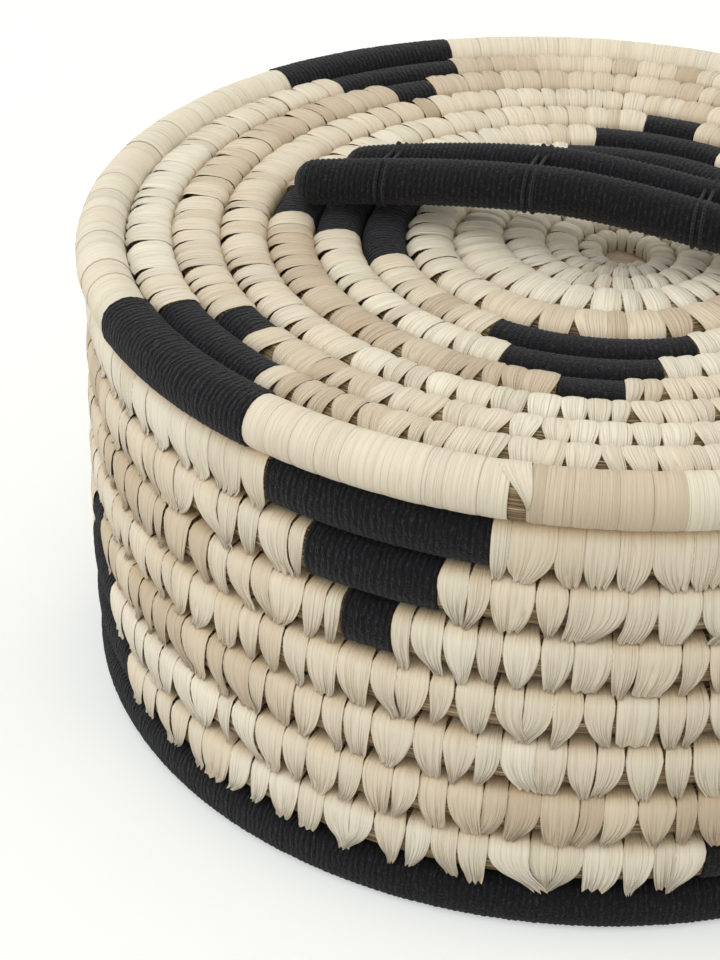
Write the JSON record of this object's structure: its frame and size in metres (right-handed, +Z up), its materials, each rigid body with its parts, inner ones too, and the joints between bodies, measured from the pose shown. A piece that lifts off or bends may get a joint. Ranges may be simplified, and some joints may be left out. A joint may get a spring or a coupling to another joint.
{
  "type": "woven roti box",
  "caption": "Round coiled palm-leaf basket box with black yarn stepped motifs, and a lift-off flat lid with an arched handle of yarn-wound cords.",
  "frame": {"origin": "on the table under the middle of the box, at the centre of the foot turn", "axes": "+Z up along the box's axis; the front, as pictured, faces -Y, and the handle runs mostly along X"},
  "size_m": [0.25, 0.25, 0.1367],
  "materials": {
    "palm_leaf": "matte dry leaf strip",
    "black_yarn": "matte twisted yarn",
    "grey_thread": "matte thread"
  },
  "bodies": {
    "box": {"box_foot_coil": "black_yarn", "box_wall_coil": "palm_leaf", "box_floor_coil": "palm_leaf", "upper_motif_1_row_1": "black_yarn", "upper_motif_1_row_2": "black_yarn", "upper_motif_1_row_3": "black_yarn", "upper_motif_2_row_1": "black_yarn", "upper_motif_2_row_2": "black_yarn", "upper_motif_2_row_3": "black_yarn", "upper_motif_3_row_1": "black_yarn", "upper_motif_3_row_2": "black_yarn", "upper_motif_3_row_3": "black_yarn", "upper_motif_4_row_1": "black_yarn", "upper_motif_4_row_2": "black_yarn", "upper_motif_4_row_3": "black_yarn", "lower_motif_1_row_7": "black_yarn", "lower_motif_1_row_6": "black_yarn", "lower_motif_1_row_5": "black_yarn", "lower_motif_2_row_7": "black_yarn", "lower_motif_2_row_6": "black_yarn", "lower_motif_2_row_5": "black_yarn", "lower_motif_3_row_7": "black_yarn", "lower_motif_3_row_6": "black_yarn", "lower_motif_3_row_5": "black_yarn", "lower_motif_4_row_7": "black_yarn", "lower_motif_4_row_6": "black_yarn", "lower_motif_4_row_5": "black_yarn"},
    "lid": {"lid_coil": "palm_leaf", "lid_locating_coil": "palm_leaf", "rim_motif_1_turn_1": "black_yarn", "rim_motif_1_turn_2": "black_yarn", "rim_motif_1_turn_3": "black_yarn", "rim_motif_2_turn_1": "black_yarn", "rim_motif_2_turn_2": "black_yarn", "rim_motif_2_turn_3": "black_yarn", "rim_motif_3_turn_1": "black_yarn", "rim_motif_3_turn_2": "black_yarn", "rim_motif_3_turn_3": "black_yarn", "rim_motif_4_turn_1": "black_yarn", "rim_motif_4_turn_2": "black_yarn", "rim_motif_4_turn_3": "black_yarn", "inner_motif_1_turn_7": "black_yarn", "inner_motif_1_turn_6": "black_yarn", "inner_motif_1_turn_5": "black_yarn", "inner_motif_2_turn_7": "black_yarn", "inner_motif_2_turn_6": "black_yarn", "inner_motif_2_turn_5": "black_yarn", "inner_motif_3_turn_7": "black_yarn", "inner_motif_3_turn_6": "black_yarn", "inner_motif_3_turn_5": "black_yarn", "inner_motif_4_turn_7": "black_yarn", "inner_motif_4_turn_6": "black_yarn", "inner_motif_4_turn_5": "black_yarn", "handle_front_cord": "black_yarn", "handle_rear_cord": "black_yarn", "handle_tie_1": "grey_thread", "handle_tie_2": "grey_thread", "handle_tie_3": "grey_thread", "handle_tie_4": "grey_thread"}
  },
  "joints": [
    {"name": "lid_lift", "type": "slide", "parent": "box", "child": "lid", "axis": [0, 0, 1], "range_m": [0, 0.15]}
  ]
}
